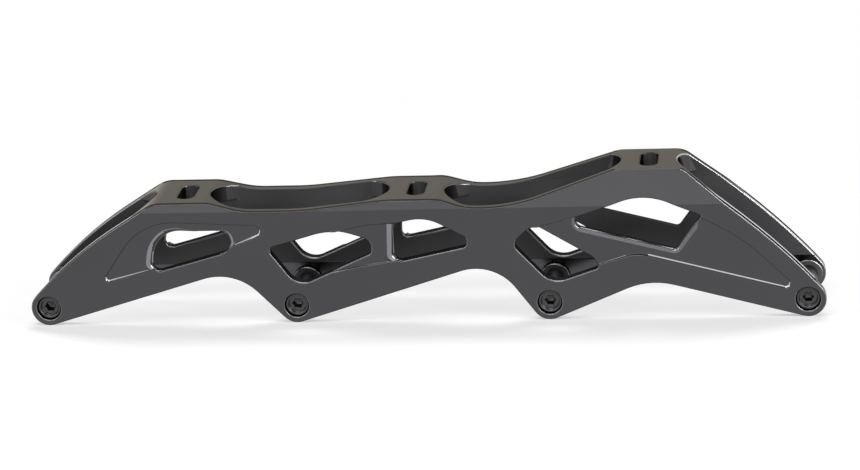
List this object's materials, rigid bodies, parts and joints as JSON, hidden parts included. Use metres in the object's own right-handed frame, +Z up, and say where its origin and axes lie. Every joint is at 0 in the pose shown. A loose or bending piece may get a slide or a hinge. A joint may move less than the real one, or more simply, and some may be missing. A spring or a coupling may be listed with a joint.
{
  "type": "inline skate frame",
  "caption": "Machined aluminium channel that carries inline skate wheels on screw-in axles, with slotted decks for the boot and windows through both walls.",
  "frame": {"origin": "bottom centre of the frame's box: middle of the wheelbase, middle of the width, lowest point of the walls under the axles", "axes": "+X from the toe to the heel, -Y the side of the axle heads, +Z up to the boot"},
  "size_m": [0.335, 0.036, 0.0638],
  "materials": {
    "anodised_aluminium": "dark grey anodised, half gloss",
    "black_steel": "black oxide",
    "nylon": "dyed nylon"
  },
  "bodies": {
    "frame": {"frame_body": "anodised_aluminium"},
    "toe_axle_screw": {"toe_axle": "black_steel", "toe_axle_pellet": "nylon"},
    "second_axle_screw": {"second_axle": "black_steel", "second_axle_pellet": "nylon"},
    "third_axle_screw": {"third_axle": "black_steel", "third_axle_pellet": "nylon"},
    "heel_axle_screw": {"heel_axle": "black_steel", "heel_axle_pellet": "nylon"}
  },
  "joints": [
    {"name": "toe_axle_draw", "type": "slide", "parent": "frame", "child": "toe_axle_screw", "axis": [0, -1, 0], "range_m": [0, 0.045]},
    {"name": "second_axle_draw", "type": "slide", "parent": "frame", "child": "second_axle_screw", "axis": [0, -1, 0], "range_m": [0, 0.045]},
    {"name": "third_axle_draw", "type": "slide", "parent": "frame", "child": "third_axle_screw", "axis": [0, -1, 0], "range_m": [0, 0.045]},
    {"name": "heel_axle_draw", "type": "slide", "parent": "frame", "child": "heel_axle_screw", "axis": [0, -1, 0], "range_m": [0, 0.045]}
  ]
}
